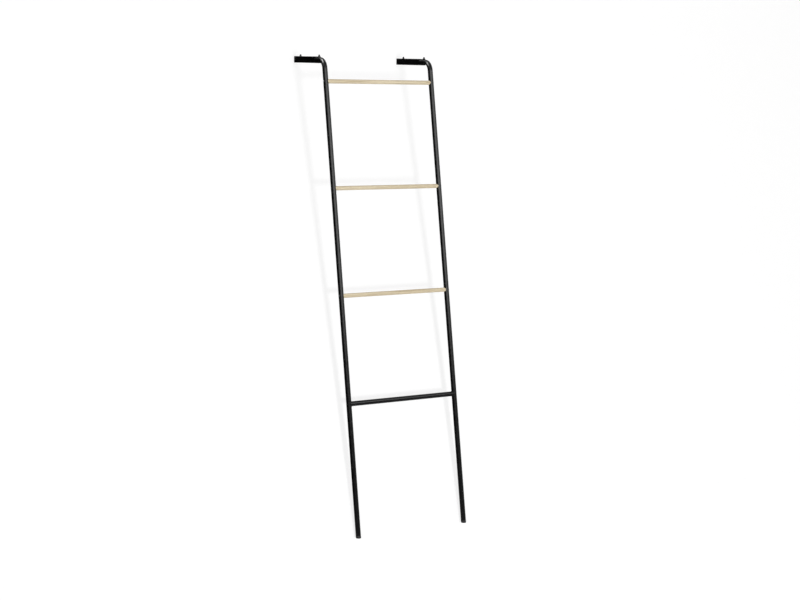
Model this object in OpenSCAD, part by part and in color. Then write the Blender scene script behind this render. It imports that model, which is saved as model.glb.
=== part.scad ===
// Leaning towel ladder: two bent steel rails, three ash rungs and one steel rung.
// It stands on two feet and leans on a wall with two level arms.
// X runs along the rungs, Y towards the wall and Z up. The origin is on the floor,
// in the middle of the ladder's width and depth.

/* [Frame] */
// Distance between the centres of the two rails
frame_w = 434; // [360:1:560]
// Height of the arms' centre line above the floor
arm_height = 1678; // [1600:1:1800]
// Angle that the rails lean back from upright
lean = 11.5; // [8:0.5:14]
// Distance from where the rail's and arm's centre lines meet to the wall
arm_length = 256; // [220:1:320]
// Outside diameter of the rail tube
rail_d = 19; // [18.5:0.5:21]
// Wall thickness of the rail tube
rail_wall = 1.5; // [1:0.1:2]
// Radius of the bend, on the tube's centre line
bend_r = 38; // [30:1:44]
// How much narrower the tube is drawn by the bending
bend_draw = 0.06; // [0.04:0.02:0.3]

/* [Rungs] */
// Diameter of the ash rungs
wood_rung_d = 15.5; // [14:0.5:17.5]
// Outside diameter of the steel rung
steel_rung_d = 18; // [12:0.5:18]
// Wall thickness of the steel rung
steel_rung_wall = 1.5; // [1:0.1:2]
// Distance along the rail from the corner of the centre lines down to the top rung
top_rung_drop = 77; // [70:1:110]
// Distance along the rail from one rung to the next
rung_pitch = 386.5; // [330:0.5:400]
// Room between a rung's shaped end and the rail
cope_gap = 0.1; // [0.05:0.05:0.3]
// Size of the weld bead round each end of the steel rung
weld_size = 1.6; // [1:0.1:2.5]

/* [Arm bars] */
// Height of the flat bar that carries each arm to the wall
bar_h = 24; // [22:0.5:28]
// Thickness of the flat bar
bar_t = 8; // [8:0.5:10]
// Radius on the bar's four long edges
bar_edge_r = 0.8; // [0.3:0.1:1.5]
// Length of plain straight tube between the bend and the bar's front end
plain_l = 7.5; // [6:0.5:40]
// Length of the bar that is held in the tube's slots
bar_lap = 30; // [20:1:40]
// Room on each side of the bar in the slots
slot_gap = 0.1; // [0.05:0.05:0.3]
// Thickness of the two half-moon plates that close the end of the tube
end_plate_t = 2; // [1:0.1:4]
// Radius of the weld beads between the bar and the tube
bar_weld_r = 1.2; // [0.8:0.1:1.8]
// Thickness of the rubber pad between the bar and the wall
wall_pad_t = 3; // [2:0.5:6]

/* [Pegs] */
// Distance from the wall to the rear peg
rear_peg_reach = 50; // [30:1:80]
// Distance from the bar's front end back to the front peg
front_peg_inset = 5; // [4.5:0.5:20]
// Diameter of the peg's foot
peg_foot_d = 8; // [7:0.5:8]
// Height of the peg's foot
peg_foot_h = 2.5; // [1.5:0.1:3.5]
// Diameter of the peg's post
peg_post_d = 6; // [4:0.1:6.5]
// Height of the whole peg above the bar
peg_h = 7; // [6:0.1:10]
// Diameter of the shank in the bar
peg_shank_d = 4; // [3:0.1:5]
// Length of the shank in the bar
peg_shank_l = 10; // [6:0.5:14]
// Room round the shank
peg_gap = 0.05; // [0.02:0.01:0.2]

/* [Screws] */
// Diameter of the rung screw's shank
screw_d = 5; // [4:0.1:5.5]
// Diameter of its countersunk head
screw_head_d = 9; // [8:0.1:10]
// How far the flat of the head lies below the tube's crest
head_sink = 0.5; // [0.3:0.1:0.7]
// Width across the flats of the head's hexagon socket
socket_af = 3; // [2.5:0.1:3.5]
// Depth of the hexagon socket
socket_depth = 1.6; // [1:0.1:2]
// Room round the screw in the tube
screw_gap = 0.2; // [0.1:0.05:0.4]
// Outside diameter of the brass insert in the rung's end
insert_d = 7.5; // [7:0.1:9]
// Length of the insert
insert_l = 12; // [8:0.5:16]
// Distance from the rail's side to the insert
insert_recess = 1; // [0.5:0.1:3]
// Thread that the screw has in the insert
thread_l = 10; // [6:0.5:12]
// Depth of the drilled hole past the insert
drill_spare = 4; // [2:0.5:8]

/* [Feet] */
// Distance along the rail from the floor to the tube's lower end
foot_t = 8; // [7:0.5:12]
// Height of the foot's flat base
foot_base_h = 5; // [4.5:0.5:5.5]
// Radius on the base's edge
foot_edge_r = 1; // [0.5:0.1:1.5]
// Length of the stem that plugs the tube
stem_l = 26; // [18:1:40]
// Room between the stem's fins and the tube
fin_gap = 0.1; // [0.05:0.05:0.3]
// Depth of the fins
fin_depth = 0.9; // [0.5:0.1:1.5]
// Number of fins
fin_count = 4; // [2:1:6]

/* [Hidden] */
$fn = 72;

LEFT = -1;
RIGHT = 1;
over = 1;
black = [0.10, 0.10, 0.11];
rubber_black = [0.06, 0.06, 0.06];
ash = [0.87, 0.78, 0.64];
zinc = [0.62, 0.63, 0.64];
brass = [0.78, 0.62, 0.30];

bore_d = rail_d - 2 * rail_wall;
corner_s = arm_height / cos(lean);
corner_y = arm_height * tan(lean);
wall_y = corner_y + arm_length;
turn = 90 - lean;
bend_run = bend_r * tan(turn / 2);
bend_s = corner_s - bend_run;
bend_seat = 0.4;
bar_end_y = wall_y - wall_pad_t;
bar_front_y = corner_y + bend_run + plain_l;
tube_end_y = bar_front_y + bar_lap;
rear_peg_y = wall_y - rear_peg_reach;
front_peg_y = bar_front_y + front_peg_inset;
front_y = -rail_d / 2;
mid_y = (front_y + wall_y) / 2;
top_s = corner_s - top_rung_drop;
rung_s = [for (i = [0:3]) top_s - i * rung_pitch];
head_z = rail_d / 2 - head_sink;
head_h = (screw_head_d - screw_d) / 2;
insert_z = -(rail_d / 2 + insert_recess);
fin_pitch = (stem_l - fin_depth) / fin_count;

// Puts its children in the ladder's frame, where Y is counted from the feet
module in_frame() {
    translate([0, -mid_y, 0]) children();
}

// Z runs up the rail's centre line from the floor
module along_rail(side) {
    in_frame() translate([side * frame_w / 2, 0, 0]) rotate([-lean, 0, 0]) children();
}

// Y runs along the arm's centre line, counted from the feet
module along_arm(side) {
    in_frame() translate([side * frame_w / 2, 0, arm_height]) children();
}

// Z points outwards from the rail's centre line, at a rung
module at_rung_end(side, s) {
    along_rail(side) translate([0, 0, s]) rotate([0, side * 90, 0]) children();
}

// A round bar that follows the rail's centre line: up, round the bend and back along the arm.
// The bend is a little narrower and begins and ends just inside the straight parts.
module rail_path(side, d, extra) {
    along_rail(side) translate([0, bend_r, bend_s]) rotate([90, 0, -90]) {
        translate([bend_r, 0, 0]) rotate([90, 0, 0])
            cylinder(d = d, h = bend_s - foot_t + extra);
        rotate([0, 0, -bend_seat]) rotate_extrude(angle = turn + 2 * bend_seat)
            translate([bend_r, 0]) circle(d = d - bend_draw);
        rotate([0, 0, turn]) translate([bend_r, 0, 0]) rotate([-90, 0, 0])
            cylinder(d = d, h = tube_end_y - corner_y - bend_run + extra);
    }
}

// The hole for a rung screw: countersunk outside, plain through both walls
module screw_hole(side, s) {
    at_rung_end(side, s) {
        translate([0, 0, head_z - head_h])
            cylinder(d1 = screw_d + 2 * screw_gap, d2 = screw_head_d + 2 * screw_gap, h = head_h);
        translate([0, 0, head_z])
            cylinder(d = screw_head_d + 2 * screw_gap, h = head_sink + over);
        translate([0, 0, -rail_d / 2 - over])
            cylinder(d = screw_d + 2 * screw_gap, h = head_z - head_h + rail_d / 2 + 2 * over);
    }
}

module rail(side) {
    color(black) difference() {
        rail_path(side, rail_d, 0);
        rail_path(side, bore_d, over);
        for (i = [0:2]) screw_hole(side, rung_s[i]);
        along_arm(side) translate([-bar_t / 2 - slot_gap, bar_front_y - slot_gap, -rail_d])
            cube([bar_t + 2 * slot_gap, bar_lap + over, 2 * rail_d]);
    }
}

// A round bar between the two rails' centre lines
module rung_blank(s, d) {
    along_rail(LEFT) translate([0, 0, s]) rotate([0, 90, 0]) cylinder(d = d, h = frame_w);
}

// What the rung's ends are cut back to
module rail_blank(side, s, d) {
    along_rail(side) translate([0, 0, s - rail_d]) cylinder(d = d, h = 2 * rail_d);
}

module wood_rung(s) {
    color(ash) difference() {
        rung_blank(s, wood_rung_d);
        for (side = [LEFT, RIGHT]) {
            rail_blank(side, s, rail_d + 2 * cope_gap);
            at_rung_end(side, s) translate([0, 0, insert_z - insert_l])
                cylinder(d = insert_d, h = insert_l + insert_recess + over);
            at_rung_end(side, s) translate([0, 0, insert_z - insert_l - drill_spare])
                cylinder(d = screw_d + 2 * screw_gap, h = drill_spare + over);
        }
    }
}

module steel_rung() {
    s = rung_s[3];
    color(black) difference() {
        rung_blank(s, steel_rung_d);
        rung_blank(s, steel_rung_d - 2 * steel_rung_wall);
        for (side = [LEFT, RIGHT]) rail_blank(side, s, rail_d + 2 * cope_gap);
    }
}

// The bead follows the saddle where the steel rung meets the rail
module rung_weld(side) {
    s = rung_s[3];
    seam_x = sqrt(max(pow(rail_d / 2, 2) - pow(steel_rung_d / 2, 2), 0));
    color(black) difference() {
        intersection() {
            rail_blank(side, s, rail_d + 2 * weld_size);
            at_rung_end(side, s) translate([0, 0, -rail_d])
                cylinder(d = steel_rung_d + 2 * weld_size, h = rail_d - seam_x + weld_size);
        }
        rail_blank(side, s, rail_d);
        rung_blank(s, steel_rung_d);
    }
}

module rung_inserts(s) {
    color(brass) for (side = [LEFT, RIGHT])
        at_rung_end(side, s) translate([0, 0, insert_z - insert_l]) difference() {
            cylinder(d = insert_d, h = insert_l);
            translate([0, 0, -over]) cylinder(d = screw_d, h = insert_l + 2 * over);
        }
}

module rung_screws(s) {
    shank_l = head_z - head_h - insert_z + thread_l;
    color(zinc) for (side = [LEFT, RIGHT])
        at_rung_end(side, s) translate([0, 0, head_z - head_h]) difference() {
            union() {
                cylinder(d1 = screw_d, d2 = screw_head_d, h = head_h);
                translate([0, 0, -shank_l]) cylinder(d = screw_d, h = shank_l);
            }
            translate([0, 0, head_h - socket_depth])
                cylinder(d = socket_af / cos(30), h = socket_depth + over, $fn = 6);
        }
}

// The bar's section, and the pad's: a rectangle with rounded corners
module bar_section() {
    r = bar_edge_r;
    square([bar_t - 2 * r, bar_h], center = true);
    square([bar_t, bar_h - 2 * r], center = true);
    for (x = [-1, 1], y = [-1, 1])
        translate([x * (bar_t / 2 - r), y * (bar_h / 2 - r)]) circle(r = r);
}

module bar_length(side, from_y, to_y) {
    along_arm(side) translate([0, to_y, 0]) rotate([90, 0, 0])
        linear_extrude(height = to_y - from_y) bar_section();
}

// Z runs up from the bar's top edge, at a peg
module at_peg(side, y) {
    along_arm(side) translate([0, y, bar_h / 2]) children();
}

module arm_bar(side) {
    color(black) difference() {
        bar_length(side, bar_front_y, bar_end_y);
        for (y = [rear_peg_y, front_peg_y]) at_peg(side, y)
            translate([0, 0, -peg_shank_l - peg_gap])
                cylinder(d = peg_shank_d + 2 * peg_gap, h = peg_shank_l + peg_gap + over);
    }
}

// A turned peg: shank, foot with a chamfer, and a post with a domed end
module peg(side, y) {
    chamfer = (peg_foot_d - peg_post_d) / 4;
    dome_h = peg_post_d / 5;
    dome_r = (pow(peg_post_d / 2, 2) + dome_h * dome_h) / (2 * dome_h);
    color(black) at_peg(side, y) {
        translate([0, 0, -peg_shank_l]) cylinder(d = peg_shank_d, h = peg_shank_l);
        cylinder(d = peg_foot_d, h = peg_foot_h - chamfer);
        translate([0, 0, peg_foot_h - chamfer])
            cylinder(d1 = peg_foot_d, d2 = peg_foot_d - 2 * chamfer, h = chamfer);
        cylinder(d = peg_post_d, h = peg_h - dome_h);
        intersection() {
            cylinder(d = peg_post_d, h = peg_h);
            translate([0, 0, peg_h - dome_r]) sphere(r = dome_r);
        }
    }
}

// Two half-moons that close the tube's end on either side of the bar
module arm_end_plates(side) {
    color(black) difference() {
        along_arm(side) translate([0, tube_end_y - end_plate_t, 0]) rotate([-90, 0, 0])
            cylinder(d = bore_d, h = end_plate_t);
        along_arm(side) translate([-bar_t / 2, tube_end_y - end_plate_t - over, -rail_d])
            cube([bar_t, end_plate_t + 2 * over, 2 * rail_d]);
    }
}

// Four beads along the slots, in the corners between the bar's sides and the tube
module arm_welds(side) {
    seam_z = sqrt(pow(rail_d / 2, 2) - pow(bar_t / 2, 2));
    color(black) difference() {
        along_arm(side) for (x = [-1, 1], z = [-1, 1])
            translate([x * bar_t / 2, bar_front_y, z * seam_z]) rotate([-90, 0, 0])
                cylinder(r = bar_weld_r, h = bar_lap);
        along_arm(side) translate([0, bar_front_y - over, 0]) rotate([-90, 0, 0])
            cylinder(d = rail_d, h = bar_lap + 2 * over);
        along_arm(side) translate([-bar_t / 2, bar_front_y - over, -rail_d])
            cube([bar_t, bar_lap + 2 * over, 2 * rail_d]);
    }
}

module wall_pad(side) {
    color(rubber_black) bar_length(side, bar_end_y, wall_y);
}

// Moulded foot: flat base on the floor, collar under the tube, finned stem inside it
module foot(side) {
    stem_d = bore_d - 2 * fin_gap - 2 * fin_depth;
    collar_s = foot_base_h / 2;
    color(rubber_black) {
        in_frame() translate([side * frame_w / 2, 0, 0]) {
            cylinder(d = rail_d - 2 * foot_edge_r, h = foot_base_h);
            translate([0, 0, foot_edge_r]) {
                cylinder(d = rail_d, h = foot_base_h - foot_edge_r);
                rotate_extrude() translate([rail_d / 2 - foot_edge_r, 0]) circle(r = foot_edge_r);
            }
        }
        along_rail(side) {
            translate([0, 0, collar_s]) cylinder(d = rail_d, h = foot_t - collar_s);
            translate([0, 0, foot_t - over]) cylinder(d = stem_d, h = stem_l + over);
            for (i = [0:fin_count - 1]) translate([0, 0, foot_t + i * fin_pitch + fin_depth])
                cylinder(d1 = stem_d + 2 * fin_depth, d2 = stem_d, h = fin_depth);
        }
    }
}

rail(LEFT);  // left_rail
rail(RIGHT);  // right_rail
wood_rung(rung_s[0]);  // top_rung
wood_rung(rung_s[1]);  // middle_rung
wood_rung(rung_s[2]);  // lower_rung
steel_rung();
rung_weld(LEFT);  // left_rung_weld
rung_weld(RIGHT);  // right_rung_weld
rung_inserts(rung_s[0]);  // top_rung_inserts
rung_inserts(rung_s[1]);  // middle_rung_inserts
rung_inserts(rung_s[2]);  // lower_rung_inserts
rung_screws(rung_s[0]);  // top_rung_screws
rung_screws(rung_s[1]);  // middle_rung_screws
rung_screws(rung_s[2]);  // lower_rung_screws
arm_bar(LEFT);  // left_arm_bar
arm_bar(RIGHT);  // right_arm_bar
arm_end_plates(LEFT);  // left_arm_end_plates
arm_end_plates(RIGHT);  // right_arm_end_plates
arm_welds(LEFT);  // left_arm_welds
arm_welds(RIGHT);  // right_arm_welds
peg(LEFT, rear_peg_y);  // left_rear_peg
peg(LEFT, front_peg_y);  // left_front_peg
peg(RIGHT, rear_peg_y);  // right_rear_peg
peg(RIGHT, front_peg_y);  // right_front_peg
wall_pad(LEFT);  // left_wall_pad
wall_pad(RIGHT);  // right_wall_pad
foot(LEFT);  // left_foot
foot(RIGHT);  // right_foot
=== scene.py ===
from math import cos, pi, radians, sin, tau

import bmesh
import bpy
import numpy as np
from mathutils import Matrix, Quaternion, Vector


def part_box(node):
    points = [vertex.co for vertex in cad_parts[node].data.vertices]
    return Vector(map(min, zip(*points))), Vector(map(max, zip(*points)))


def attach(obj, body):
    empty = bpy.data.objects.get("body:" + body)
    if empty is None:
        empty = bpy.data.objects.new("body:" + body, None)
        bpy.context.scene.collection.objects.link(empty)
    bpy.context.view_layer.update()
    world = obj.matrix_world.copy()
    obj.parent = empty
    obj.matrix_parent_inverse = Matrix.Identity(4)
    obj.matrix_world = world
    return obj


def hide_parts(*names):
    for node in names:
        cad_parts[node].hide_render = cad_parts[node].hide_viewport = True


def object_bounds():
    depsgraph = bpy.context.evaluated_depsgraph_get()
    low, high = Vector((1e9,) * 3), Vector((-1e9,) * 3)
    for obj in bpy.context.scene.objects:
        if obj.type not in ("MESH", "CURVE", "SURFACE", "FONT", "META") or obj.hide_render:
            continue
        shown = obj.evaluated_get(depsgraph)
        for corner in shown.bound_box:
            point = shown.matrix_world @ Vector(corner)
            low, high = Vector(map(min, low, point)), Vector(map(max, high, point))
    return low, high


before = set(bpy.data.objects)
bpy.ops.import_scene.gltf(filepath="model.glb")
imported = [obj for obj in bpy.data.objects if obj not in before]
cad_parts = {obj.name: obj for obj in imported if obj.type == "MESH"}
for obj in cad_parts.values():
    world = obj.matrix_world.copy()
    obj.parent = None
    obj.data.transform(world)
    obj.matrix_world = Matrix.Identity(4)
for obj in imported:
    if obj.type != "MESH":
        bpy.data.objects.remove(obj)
cad_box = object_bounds()

# Camera. It stands to the left of the ladder, level with the arms, and looks slightly down. It is
# turned a little about its own axis, as the photograph is, and shifted by 24 of its 800 pixels.
MM = 0.001
eye = Vector((-2.493, -4.768, 1.675))
pan = radians(28.41)
tilt = radians(-8.29)
roll = radians(1.28)
sight = Vector((sin(pan) * cos(tilt), cos(pan) * cos(tilt), sin(tilt)))
camera = bpy.data.objects.new("camera", bpy.data.cameras.new("camera"))
camera.data.sensor_width = 36.0
camera.data.lens = 65.93
camera.data.shift_y = -0.03
camera.location = eye
camera.rotation_euler = (sight.to_track_quat("-Z", "Y") @ Quaternion((0, 0, 1), roll)).to_euler()
bpy.context.scene.collection.objects.link(camera)
bpy.context.scene.camera = camera
bpy.context.scene.view_settings.view_transform = "Standard"


# Studio. A pale floor, a pale board that leans away behind the ladder and takes the soft shadow, a
# small lamp far in front and a wide one above. Only gloss sees the three bright boards, which give
# the highlights, and the black cloth, which keeps the tubes' flanks dark.
class Value:
    """A shader socket in a Python expression. Adding, subtracting, multiplying or dividing two of
    them, or one and a number, adds the Math node that does it."""

    def __init__(self, finish, socket):
        self.finish = finish
        self.socket = socket

    def math(self, operation, *others):
        """One Math node on this socket and the others."""
        values = dict(enumerate((self, *others)))
        return self.finish.node("ShaderNodeMath", {"operation": operation}, values)

    def __add__(self, other):
        return self.math("ADD", other)

    def __sub__(self, other):
        return self.math("SUBTRACT", other)

    def __rsub__(self, other):
        return self.finish.node("ShaderNodeMath", {"operation": "SUBTRACT"}, {0: other, 1: self})

    def __mul__(self, other):
        return self.math("MULTIPLY", other)

    def __truediv__(self, other):
        return self.math("DIVIDE", other)

    def __pow__(self, other):
        return self.math("POWER", other)

    __radd__ = __add__
    __rmul__ = __mul__

    def ramp(self, low, high):
        """0 below low, 1 above high, and a smooth step between them."""
        settings = {"interpolation_type": "SMOOTHSTEP"}
        return self.finish.node("ShaderNodeMapRange", settings,
                                {"Value": self, "From Min": low, "From Max": high})


class Finish:
    """A material, or the world behind the studio, whose nodes are added one call at a time."""

    def __init__(self, name, world=None):
        self.material = world or bpy.data.materials.new(name)
        self.material.use_nodes = True
        self.tree = self.material.node_tree
        self.tree.nodes.clear()

    def node(self, kind, settings=None, sockets=None, output=0):
        """Adds a node of this kind, gives it its settings, then its sockets' values or links, and
        returns one of its outputs."""
        made = self.tree.nodes.new(kind)
        for setting, value in (settings or {}).items():
            setattr(made, setting, value)
        for socket, value in (sockets or {}).items():
            if isinstance(value, Value):
                self.tree.links.new(value.socket, made.inputs[socket])
            else:
                made.inputs[socket].default_value = value
        return Value(self, made.outputs[output]) if made.outputs else None

    def mapped(self, point, **mapping):
        """The point moved by a Location, turned by a Rotation or stretched by a Scale."""
        return self.node("ShaderNodeMapping", {}, {"Vector": point, **mapping})

    def place(self, offset=(0, 0, 0)):
        """The point on the piece, in metres, moved by the offset."""
        return self.mapped(self.node("ShaderNodeTexCoord", output="Object"), Location=offset)

    def noise(self, point, scale, detail=2.0, roughness=0.5):
        """A soft random value round 0.5 that changes from point to point."""
        return self.node("ShaderNodeTexNoise", {}, {
            "Vector": point, "Scale": scale, "Detail": detail, "Roughness": roughness})

    def blend(self, amount, low, high):
        """A colour that goes from low to high as the amount goes from 0 to 1."""
        return self.node("ShaderNodeMix", {"data_type": "RGBA"},
                         {"Factor": amount, 6: low, 7: high}, output=2)

    def bump(self, height, distance, strength=1.0):
        """The surface's direction where a height of 1 stands out by the distance, in metres."""
        return self.node("ShaderNodeBump", {}, {
            "Height": height, "Distance": distance, "Strength": strength})

    def surface(self, **sockets):
        """Ends the material in one Principled shader with these sockets."""
        named = {name.replace("_", " "): value for name, value in sockets.items()}
        shader = self.node("ShaderNodeBsdfPrincipled", {}, named)
        self.node("ShaderNodeOutputMaterial", {}, {"Surface": shader})
        return self.material


def colour(red, green, blue):
    """A colour in linear light."""
    return (red, green, blue, 1.0)


def seen_ray(finish):
    """1 for a ray from the camera, from gloss or through glass, and 0 for any other."""
    camera_ray, glossy_ray, glass_ray = [
        finish.node("ShaderNodeLightPath", output=kind)
        for kind in ("Is Camera Ray", "Is Glossy Ray", "Is Transmission Ray")]
    return camera_ray.math("MAXIMUM", glossy_ray).math("MAXIMUM", glass_ray)


def studio_white(name, glow_level, one_sided=False):
    """A matt white paper. Where the camera, gloss or glass sees it, most of it is a plain white
    glow, and the rest still takes the shadow. A one-sided board can't be seen from behind and
    doesn't shade the floor behind it."""
    finish = Finish(name)
    paper = finish.node("ShaderNodeBsdfDiffuse", {}, {"Color": paper_white})
    glow = finish.node("ShaderNodeEmission", {}, {"Color": colour(1, 1, 1), "Strength": glow_level})
    lift = seen_ray(finish) * glow_share
    shader = finish.node("ShaderNodeMixShader", {}, {0: lift, 1: paper, 2: glow})
    if one_sided:
        behind = finish.node("ShaderNodeNewGeometry", output="Backfacing")
        shade = finish.node("ShaderNodeLightPath", output="Is Shadow Ray")
        clear = finish.node("ShaderNodeBsdfTransparent")
        shader = finish.node("ShaderNodeMixShader", {},
                             {0: behind.math("MAXIMUM", shade), 1: shader, 2: clear})
    finish.node("ShaderNodeOutputMaterial", {}, {"Surface": shader})
    return finish.material


def sheet_of_studio(name, foot, head, material):
    """A sheet between its foot line and its head line, which have as many points."""
    count = len(foot)
    mesh = bpy.data.meshes.new(name)
    mesh.from_pydata(foot + head, [], [(start, start + 1, start + 1 + count, start + count)
                                       for start in range(count - 1)])
    mesh.materials.append(material)
    sheet = bpy.data.objects.new(name, mesh)
    bpy.context.scene.collection.objects.link(sheet)
    return sheet


def lamp(kind, name, place, aim, **settings):
    """A lamp of this kind at a place, turned to its aim."""
    light = bpy.data.lights.new(name, kind)
    for setting, value in settings.items():
        setattr(light, setting, value)
    stand = bpy.data.objects.new(name, light)
    stand.location = place
    stand.rotation_euler = (Vector(aim) - Vector(place)).to_track_quat("-Z", "Y").to_euler()
    bpy.context.scene.collection.objects.link(stand)
    return stand


def sheen_board(name, place, aim, width, height, level):
    """A large soft light that shows only as a sheen on the coated tubes. Its level is what a
    mirror would show, where 1 is white, and the lamp's power is pi times that by its area."""
    board = lamp("AREA", name, place, aim, shape="RECTANGLE", size=width, size_y=height,
                 energy=level * pi * width * height)
    board.visible_diffuse = False
    board.visible_camera = False
    return board


paper_white = colour(0.80, 0.80, 0.80)
glow_share = 0.7
floor_glow = 1.28
board_glow = 1.15
floor_half = 9.0
board_half = 3.0

# The board goes through the feet and the ends of the arms, and on to nearly twice their height.
board_gap = 1 * MM
board_foot_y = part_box("left_foot")[1].y + board_gap
board_rest_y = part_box("left_wall_pad")[1].y + board_gap
board_rest_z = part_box("left_wall_pad")[0].z
board_reach = 1.9
board_top_y = board_foot_y + (board_rest_y - board_foot_y) * board_reach
board_top_z = board_rest_z * board_reach
sheet_of_studio("floor", [(-floor_half, -floor_half, 0), (floor_half, -floor_half, 0)],
                [(-floor_half, floor_half, 0), (floor_half, floor_half, 0)],
                studio_white("floor_white", floor_glow))
board = sheet_of_studio("backdrop", [(-board_half, board_foot_y, 0), (board_half, board_foot_y, 0)],
                        [(-board_half, board_top_y, board_top_z),
                         (board_half, board_top_y, board_top_z)],
                        studio_white("backdrop_white", board_glow, one_sided=True))
board.visible_glossy = False

# The cloth's head line, as x, y and height. Its foot line lies on the floor, nearer to the ladder.
flag_foot_share = 0.4
flag_plan = [(2.6, -3.1, 1.35), (-2.9, -3.1, 1.35), (-2.1, -1.6, 1.7), (-1.3, -0.7, 2.1),
             (-1.05, 0.35, 2.2), (-0.45, 1.15, 2.3), (0.8, 1.3, 2.3)]
flag_foot = [(x * flag_foot_share, y * flag_foot_share, 0) for x, y, _ in flag_plan]
flag_cloth = Finish("black_cloth").surface(Base_Color=colour(0.004, 0.004, 0.004),
                                           Specular_IOR_Level=0.0)
flag = sheet_of_studio("flag", flag_foot, flag_plan, flag_cloth)
flag.visible_camera = False
flag.visible_diffuse = False
flag.visible_shadow = False
flag.visible_transmission = False

front_lamp_size, front_lamp_watts = 0.9, 312
top_lamp_size, top_lamp_watts = 2.5, 13
ladder_middle = (cad_box[0] + cad_box[1]) / 2
ladder_top = Vector((0, 0, cad_box[1].z))
front_lamp = lamp("AREA", "front_lamp", (-0.4, -8.0, 0.95), ladder_middle, shape="RECTANGLE",
                  size=front_lamp_size, size_y=front_lamp_size, energy=front_lamp_watts)
front_lamp.visible_glossy = False
top_lamp = lamp("AREA", "top_lamp", (0, -1.5, 3.8), ladder_middle, shape="RECTANGLE",
                size=top_lamp_size, size_y=top_lamp_size, energy=top_lamp_watts)
top_lamp.visible_glossy = False
front_sheen = sheen_board("front_sheen", (-0.2, -3.2, 2.35), ladder_top, 4.6, 2.0, 10.5)

sheen_board("right_sheen", (2.6, -1.9, 2.1), ladder_top, 2.2, 1.6, 2.4)
sheen_board("top_sheen", (-0.9, 0.4, 3.1), ladder_top, 1.0, 1.0, 38.0)

# The arm bars' flat tops would mirror the front board as plain white when they are seen from behind.
flat_tops = bpy.data.collections.new("flat_tops")
for hand in ("left", "right"):
    flat_tops.objects.link(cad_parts[f"{hand}_arm_bar"])
for entry in flat_tops.collection_objects:
    entry.light_linking.link_state = "EXCLUDE"
front_sheen.light_linking.receiver_collection = flat_tops

sky_level = 0.33
world = bpy.data.worlds.new("studio")
bpy.context.scene.world = world
sky = Finish("studio", world)
sky_dim = sky.node("ShaderNodeBackground", {}, {"Color": colour(1, 1, 1), "Strength": sky_level})
sky_white = sky.node("ShaderNodeBackground", {}, {"Color": colour(1, 1, 1), "Strength": 1.0})
sky_mix = sky.node("ShaderNodeMixShader", {}, {0: seen_ray(sky), 1: sky_dim, 2: sky_white})
sky.node("ShaderNodeOutputWorld", {}, {"Surface": sky_mix})


# Rails. Each is one steel tube, bent at the top into an arm, slotted at its end for the flat bar and
# drilled for the rung screws. The powder coat is black and satin, with a fine orange-peel texture.
coat_deep = colour(0.0026, 0.0026, 0.0028)
coat_light = colour(0.0046, 0.0046, 0.0049)
coat_gloss = 0.13


def powder_coat():
    """Fine peel in the surface, and a slow drift in its colour and shine."""
    finish = Finish("powder_coat")
    peel = finish.noise(finish.place(), 1100.0, 2.0, 0.45)
    drift = finish.noise(finish.place(), 14.0, 3.0, 0.6)
    speck = finish.noise(finish.place(), 2600.0, 1.0, 0.5)
    return finish.surface(
        Base_Color=finish.blend(drift.ramp(0.3, 0.7), coat_deep, coat_light),
        Roughness=0.23 + drift * 0.08 + speck * 0.05,
        Specular_IOR_Level=coat_gloss,
        Normal=finish.bump(peel, 0.03 * MM, 0.7))


def dress(node, material):
    """Gives a construction piece its finish."""
    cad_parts[node].material_slots[0].material = material


black_coat = powder_coat()
for hand in ("left", "right"):
    dress(f"{hand}_rail", black_coat)


# Steel rung. The lowest rung is a steel tube, cut to the round of the rails and welded to them all
# round. Each weld is a row of overlapping ripples, under the same powder coat as the tubes.
dress("steel_rung", black_coat)


def middle_of(node):
    """The middle of a construction piece's box."""
    low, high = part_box(node)
    return np.array((low + high) / 2)


def solid_box(node, side):
    """Lowest and highest corners of a construction piece's solids on one side, -1 or 1."""
    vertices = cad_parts[node].data.vertices
    flat = np.empty(len(vertices) * 3, np.float32)
    vertices.foreach_get("co", flat)
    points = flat.astype(float).reshape(-1, 3)
    points = points[points[:, 0] * side > 0]
    return points.min(0), points.max(0)


sharp_edge = radians(38)


def piece_of(name, grids, material, node, looped=False):
    """A piece made of one or more closed surfaces. Each is a grid of points, rows by columns: a row
    is a closed ring and next rows are joined by quads. A looped grid's last row joins its first.
    Otherwise a fan closes each end ring round its middle."""
    points, faces, start = [], [], 0
    for grid in grids:
        rows, columns = grid.shape[:2]
        number = np.arange(rows * columns).reshape(rows, columns) + start
        chain = np.vstack([number, number[:1]]) if looped else number
        here, there = chain[:-1], chain[1:]
        quads = np.stack([here, np.roll(here, -1, 1), np.roll(there, -1, 1), there], -1)
        faces += quads.reshape(-1, 4).tolist()
        points.append(grid.reshape(-1, 3))
        start += rows * columns
        if not looped:
            for row in (0, -1):
                ring = number[row]
                hub = np.full(columns, start)
                faces += np.stack([ring, np.roll(ring, -1), hub], -1).tolist()
                points.append(grid[row].mean(0)[None])
                start += 1
    mesh = bpy.data.meshes.new(name)
    mesh.from_pydata(np.concatenate(points).tolist(), [], faces)
    shell = bmesh.new()
    shell.from_mesh(mesh)
    bmesh.ops.recalc_face_normals(shell, faces=shell.faces)
    shell.to_mesh(mesh)
    shell.free()
    mesh.shade_smooth()
    mesh.set_sharp_from_angle(angle=sharp_edge)
    mesh.materials.append(material)
    piece = bpy.data.objects.new(name, mesh)
    bpy.context.scene.collection.objects.link(piece)
    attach(piece, "root")
    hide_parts(node)
    return piece


bead_sides = 20
ripple_rows = 8
ripple_lag = 0.22
ripple_fall = 0.20


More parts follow.
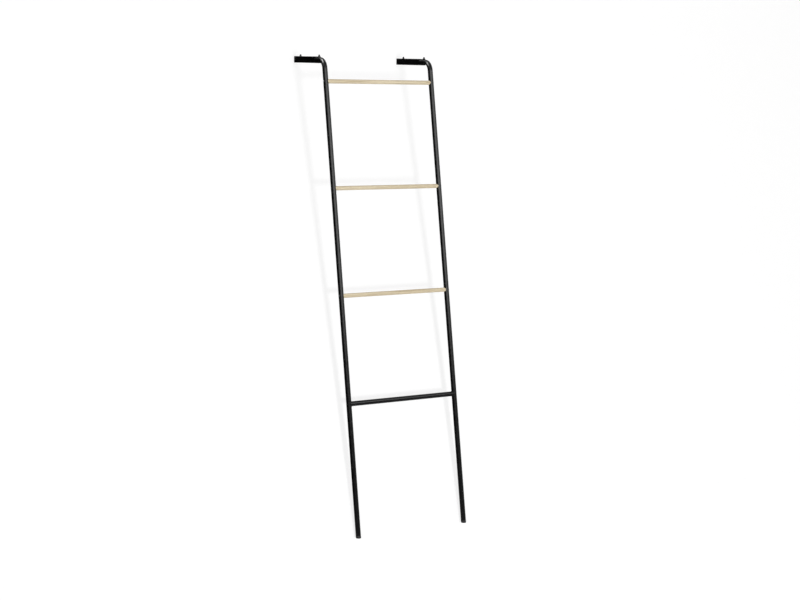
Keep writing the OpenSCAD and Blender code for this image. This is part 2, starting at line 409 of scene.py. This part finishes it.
def bead(path, out, up, width, ripples):
    """A weld bead: a round section carried along the path's rows. Its radius is the width times a
    ripple that swells to 1 at the middle of each ripple and falls by a fifth between two of them.
    The ripples lag on the section's flanks, so that each looks like a crescent."""
    steps = np.linspace(0, 1, len(path), endpoint=False)[:, None]
    turn = np.linspace(0, tau, bead_sides, endpoint=False)[None]
    phase = steps * ripples + ripple_lag * (1 - np.cos(turn))
    ripple = 1 - ripple_fall * np.abs(2 * (phase % 1) - 1) ** 3
    radius = (width * ripple)[..., None]
    return path[:, None] + radius * (np.cos(turn)[..., None] * out[:, None]
                                     + np.sin(turn)[..., None] * up[:, None])


rail_low, rail_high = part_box("left_rail")
rail_r = (rail_high.x - rail_low.x) / 2
rail_x = middle_of("right_rail")[0]
rung_low, rung_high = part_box("steel_rung")
rung_r = (rung_high.z - rung_low.z) / 2
across = np.array((1.0, 0.0, 0.0))
along_rail = middle_of("top_rung") - middle_of("steel_rung")
along_rail = along_rail / np.linalg.norm(along_rail)
off_rail = np.cross(along_rail, across)
saddle_bead = 1.5 * MM
saddle_ripples = 40


def saddle(centre, side, around, rung, rail):
    """The line where a rung of radius rung meets a rail of radius rail. At an angle round the rung
    it lies rung times cosine along the rail and rung times sine off it, and as far in from the
    rail's centre line as the rail's round allows."""
    along, off = rung * np.cos(around), rung * np.sin(around)
    inward = np.sqrt(np.maximum(rail ** 2 - off ** 2, 0))
    foot = np.array((side * rail_x, centre[1], centre[2]))
    return foot + (along[..., None] * along_rail + off[..., None] * off_rail
                   - side * inward[..., None] * across)


def saddle_weld(side):
    """The bead along the saddle line. It stands out halfway between the rung's surface and the
    rail's, and has eight rows of points to a ripple."""
    around = np.linspace(0, tau, saddle_ripples * ripple_rows, endpoint=False)
    centre = middle_of("steel_rung")
    path = saddle(centre, side, around, rung_r, rail_r)
    out_of_rung = np.cos(around)[:, None] * along_rail + np.sin(around)[:, None] * off_rail
    foot = np.array((side * rail_x, centre[1], centre[2]))
    out_of_rail = path - foot
    out_of_rail -= (out_of_rail @ along_rail)[:, None] * along_rail
    out_of_rail /= np.linalg.norm(out_of_rail, axis=1)[:, None]
    out = out_of_rung + out_of_rail
    out /= np.linalg.norm(out, axis=1)[:, None]
    run = np.roll(path, -1, 0) - np.roll(path, 1, 0)
    run /= np.linalg.norm(run, axis=1)[:, None]
    return bead(path, out, np.cross(run, out), saddle_bead, saddle_ripples)


for side, hand in ((-1, "left"), (1, "right")):
    piece_of(f"{hand}_rung_weld_bead", [saddle_weld(side)], black_coat,
             f"{hand}_rung_weld", looped=True)


# Wooden rungs. Three ash dowels, turned and cut to the round of the rails, sanded and oiled. The
# grain runs along each one, with the open pores of the spring wood and the rings on the cut ends.
ring_width = 2.3 * MM
ring_sway = 1.6 * MM
heart_beside, heart_below = 34 * MM, 21 * MM
heart_swing, heart_rise = 0.012, 0.007
pale_wood = colour(0.70, 0.595, 0.415), colour(0.79, 0.69, 0.50)
spring_wood = colour(0.47, 0.355, 0.205)
pore_brown = colour(0.26, 0.18, 0.095)


def ash(name, centre, twist):
    """Rings are cylinders about the tree's heart, which lies a few centimetres outside the dowel
    and runs nearly along it. Spring wood is the first third of a ring, a little darker and full of
    pores, which are noise drawn out along the grain."""
    finish = Finish(name)
    point = finish.place(offset=tuple(-centre))
    point = finish.mapped(point, Rotation=(twist, 0, 0))
    parts = [finish.node("ShaderNodeSeparateXYZ", {}, {0: point}, output=axis) for axis in (0, 1, 2)]
    lengthwise, sideways, upward = parts
    sway = finish.noise(finish.mapped(point, Scale=(6, 60, 60)), 1.0, 2.0, 0.5)
    from_heart_y = sideways + heart_beside + lengthwise * heart_swing
    from_heart_z = upward + heart_below - lengthwise * heart_rise
    heart = (from_heart_y * from_heart_y + from_heart_z * from_heart_z) ** 0.5
    ring = (heart + sway * ring_sway) / ring_width
    share = ring.math("FRACT")
    spring = (1 - share.ramp(0.22, 0.46)) * share.ramp(0.0, 0.05)
    drawn = finish.mapped(point, Scale=(55, 2600, 2600))
    pores = finish.noise(drawn, 1.0, 2.0, 0.6).ramp(0.56, 0.68) * (0.18 + 0.82 * spring)
    fibres = finish.noise(finish.mapped(point, Scale=(22, 800, 800)), 1.0, 3.0, 0.6)
    drift = finish.noise(finish.mapped(point, Scale=(5, 30, 30)), 1.0, 2.0, 0.5)
    pale = finish.blend(drift.ramp(0.3, 0.7), *pale_wood)
    toned = finish.blend(spring * 0.55 + fibres * 0.25 - 0.08, pale, spring_wood)
    return finish.surface(
        Base_Color=finish.blend(pores * 0.6, toned, pore_brown),
        Roughness=0.55 + fibres * 0.14,
        Specular_IOR_Level=0.15,
        Normal=finish.bump(fibres * 0.3 - pores - spring * 0.25, 0.12 * MM, 0.8))


first_twist, next_twist = 0.6, 1.9
for number, rung in enumerate(("top_rung", "middle_rung", "lower_rung")):
    twist = first_twist + next_twist * number
    dress(rung, ash(f"ash_{rung}", Vector(middle_of(rung)), twist))


# Rung screws. Countersunk steel screws, zinc plated, with a hexagon socket and a rolled thread. One
# goes through each rail into a threaded insert in the wooden rung.
zinc_pale = colour(0.50, 0.50, 0.51)
zinc_dark = colour(0.37, 0.37, 0.38)
rings_per_metre = 26000.0


def plated(name, pale, dark, centre, rough):
    """A plated or turned metal with fine rings about the screw's axis and faint handling marks."""
    finish = Finish(name)
    point = finish.place(offset=tuple(-centre))
    parts = [finish.node("ShaderNodeSeparateXYZ", {}, {0: point}, output=axis) for axis in (1, 2)]
    radius = (parts[0] * parts[0] + parts[1] * parts[1]) ** 0.5
    rings = (radius * rings_per_metre).math("SINE") * 0.5 + 0.5
    marks = finish.noise(finish.place(), 420.0, 3.0, 0.6)
    return finish.surface(
        Base_Color=finish.blend(marks.ramp(0.35, 0.7), dark, pale),
        Metallic=1.0,
        Roughness=rough + marks * 0.16,
        Normal=finish.bump(rings * 0.6 + marks * 0.4, 0.008 * MM, 0.6))


def turned(axis_point, side, stations, radii):
    """Rings about a screw's axis: each is set at a distance from the rail's centre line, outwards,
    and has a radius for every angle."""
    around = np.linspace(0, tau, radii.shape[1], endpoint=False)
    out = np.cos(around)[None, :, None] * along_rail + np.sin(around)[None, :, None] * off_rail
    middle = axis_point + side * across * stations[:, None]
    return middle[:, None] + radii[..., None] * out


flank_slope = 1.25
crest_flat = 0.12
rows_a_turn = 8


def thread(stations, around, crest, pitch, depth):
    """The radius of a helical thread: the crest less the depth times how far the turn's share,
    counted along the axis and round it, lies from the crest. The crest has a small flat, and the
    root is flat where the slope has used up the depth."""
    share = (stations[:, None] / pitch - around[None] / tau) % 1
    return crest - depth * np.clip(np.abs(2 * share - 1) * flank_slope - crest_flat, 0, 1)


screw_sides = 48
around_screw = np.linspace(0, tau, screw_sides, endpoint=False)
head_r = 4.5 * MM
head_h = 2 * MM
shank_r = 2.5 * MM
socket_half = 1.5 * MM
socket_depth = 1.6 * MM
socket_chamfer = 0.15 * MM
socket_taper = 0.98
drill_r = 0.3 * MM
neck_l = 1.5 * MM
thread_pitch = 0.8 * MM
thread_depth = 0.42 * MM
tip_taper = 0.6 * MM
rim = 0.2 * MM


def screw(node, side):
    """Rows from the socket's floor up its six walls, over the flat of the head, down the cone and
    along the threaded shank to its tip."""
    low, high = solid_box(node, side)
    face = max(abs(low[0]), abs(high[0])) - rail_x
    tip = min(abs(low[0]), abs(high[0])) - rail_x
    centre = (low + high) / 2
    axis_point = np.array((side * rail_x, centre[1], centre[2]))
    one = np.ones_like(around_screw)
    hexagon = socket_half / np.cos((around_screw % (tau / 6)) - tau / 12)
    mouth = socket_half / cos(pi / 6) + socket_chamfer
    thread_end = face - head_h - neck_l
    turns = np.arange(tip + rim, thread_end, thread_pitch / rows_a_turn)
    stations = np.concatenate([
        [face - socket_depth - drill_r, face - socket_depth, face - rim, face, face,
         face - rim / 2, face - rim, face - head_h, thread_end], turns[::-1], [tip]])
    radii = np.vstack([
        [drill_r * one, hexagon * socket_taper, hexagon, mouth * one, (head_r - rim / 2) * one,
         head_r * one, (head_r - rim / 2) * one, shank_r * one, shank_r * one],
        thread(turns[::-1], around_screw, shank_r, thread_pitch, thread_depth),
        [(shank_r - tip_taper) * one]])
    return turned(axis_point, side, stations, radii)


for rung in ("top_rung", "middle_rung", "lower_rung"):
    zinc = plated(f"zinc_{rung}", zinc_pale, zinc_dark, Vector(middle_of(rung)), 0.26)
    piece_of(f"{rung}_screw_pair", [screw(f"{rung}_screws", side) for side in (-1, 1)], zinc,
             f"{rung}_screws")


# Threaded inserts. Brass sleeves turned into the drilled ends of the wooden rungs. They have a
# coarse knife-edged thread outside, to bite the wood, and hold the rung screws.
brass_pale = colour(0.83, 0.62, 0.27)
brass_dark = colour(0.66, 0.46, 0.18)
insert_r = 3.75 * MM
insert_bore_r = 2.5 * MM
coarse_pitch = 2.5 * MM
coarse_depth = 0.75 * MM
coarse_rows_a_turn = 12


def insert(node, side):
    """A closed loop of rows: outside along the coarse thread, round the end and back inside."""
    low, high = solid_box(node, side)
    outer = max(abs(low[0]), abs(high[0])) - rail_x
    inner = min(abs(low[0]), abs(high[0])) - rail_x
    centre = (low + high) / 2
    axis_point = np.array((side * rail_x, centre[1], centre[2]))
    one = np.ones_like(around_screw)
    turns = np.arange(inner + rim, outer - rim, coarse_pitch / coarse_rows_a_turn)
    stations = np.concatenate([[inner], turns, [outer, outer, outer - rim, inner + rim, inner]])
    radii = np.vstack([
        [(insert_r - coarse_depth) * one],
        thread(turns, around_screw, insert_r, coarse_pitch, coarse_depth),
        [(insert_r - coarse_depth) * one, (insert_bore_r + rim) * one, insert_bore_r * one,
         insert_bore_r * one, (insert_bore_r + rim) * one]])
    return turned(axis_point, side, stations, radii)


for rung in ("top_rung", "middle_rung", "lower_rung"):
    brass = plated(f"brass_{rung}", brass_pale, brass_dark, Vector(middle_of(rung)), 0.24)
    piece_of(f"{rung}_insert_pair", [insert(f"{rung}_inserts", side) for side in (-1, 1)], brass,
             f"{rung}_inserts", looped=True)


# Arm bars. A flat bar is held in each tube's slots and carries the arm to the wall. Half-moon plates
# close the tube's end on either side of it, and four rippled welds run along the slots.
for hand in ("left", "right"):
    dress(f"{hand}_arm_bar", black_coat)
    dress(f"{hand}_arm_end_plates", black_coat)

slot_bead = 1.25 * MM
slot_ripple_l = 1.35 * MM
slot_end_gap = 0.4 * MM
slot_out, slot_up = 0.75, 0.66
bead_tip = 0.05


def slot_weld(node, flank, edge):
    """A straight bead along one slot, in the corner between the bar's flank and the tube. Its ends
    taper over one ripple."""
    bar_low, bar_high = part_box(node.replace("welds", "bar"))
    weld_low, weld_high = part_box(node)
    bar_half = (bar_high.x - bar_low.x) / 2
    seam_z = np.sqrt(rail_r ** 2 - bar_half ** 2)
    centre = (bar_low + bar_high) / 2
    slot_l = weld_high.y - weld_low.y
    ripples = round(slot_l / slot_ripple_l)
    share = np.linspace(0, 1, ripples * ripple_rows)
    path = np.stack([np.full_like(share, centre.x + flank * bar_half),
                     weld_low.y + slot_end_gap + share * (slot_l - 2 * slot_end_gap),
                     np.full_like(share, centre.z + edge * seam_z)], -1)
    outward = np.array((flank * slot_out, 0, edge * slot_up))
    out = np.broadcast_to(outward, path.shape)
    up = np.broadcast_to(np.cross(outward, (0, 1, 0)), path.shape)
    taper = np.clip(np.minimum(share, 1 - share) * ripples, bead_tip, 1) ** 0.5
    ring = bead(path, out, up, slot_bead, ripples)
    return path[:, None] + (ring - path[:, None]) * taper[:, None, None]


for hand in ("left", "right"):
    corners = [(flank, edge) for flank in (-1, 1) for edge in (-1, 1)]
    piece_of(f"{hand}_arm_weld_beads",
             [slot_weld(f"{hand}_arm_welds", flank, edge) for flank, edge in corners],
             black_coat, f"{hand}_arm_welds")


# Pegs. Two small turned pegs stand on each arm bar, set in drilled holes and coated with the frame.
for hand in ("left", "right"):
    for end in ("rear", "front"):
        dress(f"{hand}_{end}_peg", black_coat)


# Wall pads and feet. Moulded black rubber: a pad on the end of each arm bar, and a foot under each
# rail whose finned stem plugs the tube. The skin is dull, with a fine mould texture.
rubber_deep = colour(0.0095, 0.0095, 0.0095)
rubber_light = colour(0.020, 0.0195, 0.019)


def rubber():
    """A fine grain from the mould, and a slow bloom in its colour and dullness."""
    finish = Finish("moulded_rubber")
    grain = finish.noise(finish.place(), 2100.0, 2.0, 0.5)
    bloom = finish.noise(finish.place(), 60.0, 3.0, 0.6)
    return finish.surface(
        Base_Color=finish.blend(bloom.ramp(0.35, 0.75), rubber_deep, rubber_light),
        Roughness=0.66 + bloom * 0.12,
        Specular_IOR_Level=0.3,
        Normal=finish.bump(grain, 0.04 * MM, 0.7))


black_rubber = rubber()
for hand in ("left", "right"):
    dress(f"{hand}_wall_pad", black_rubber)
    dress(f"{hand}_foot", black_rubber)
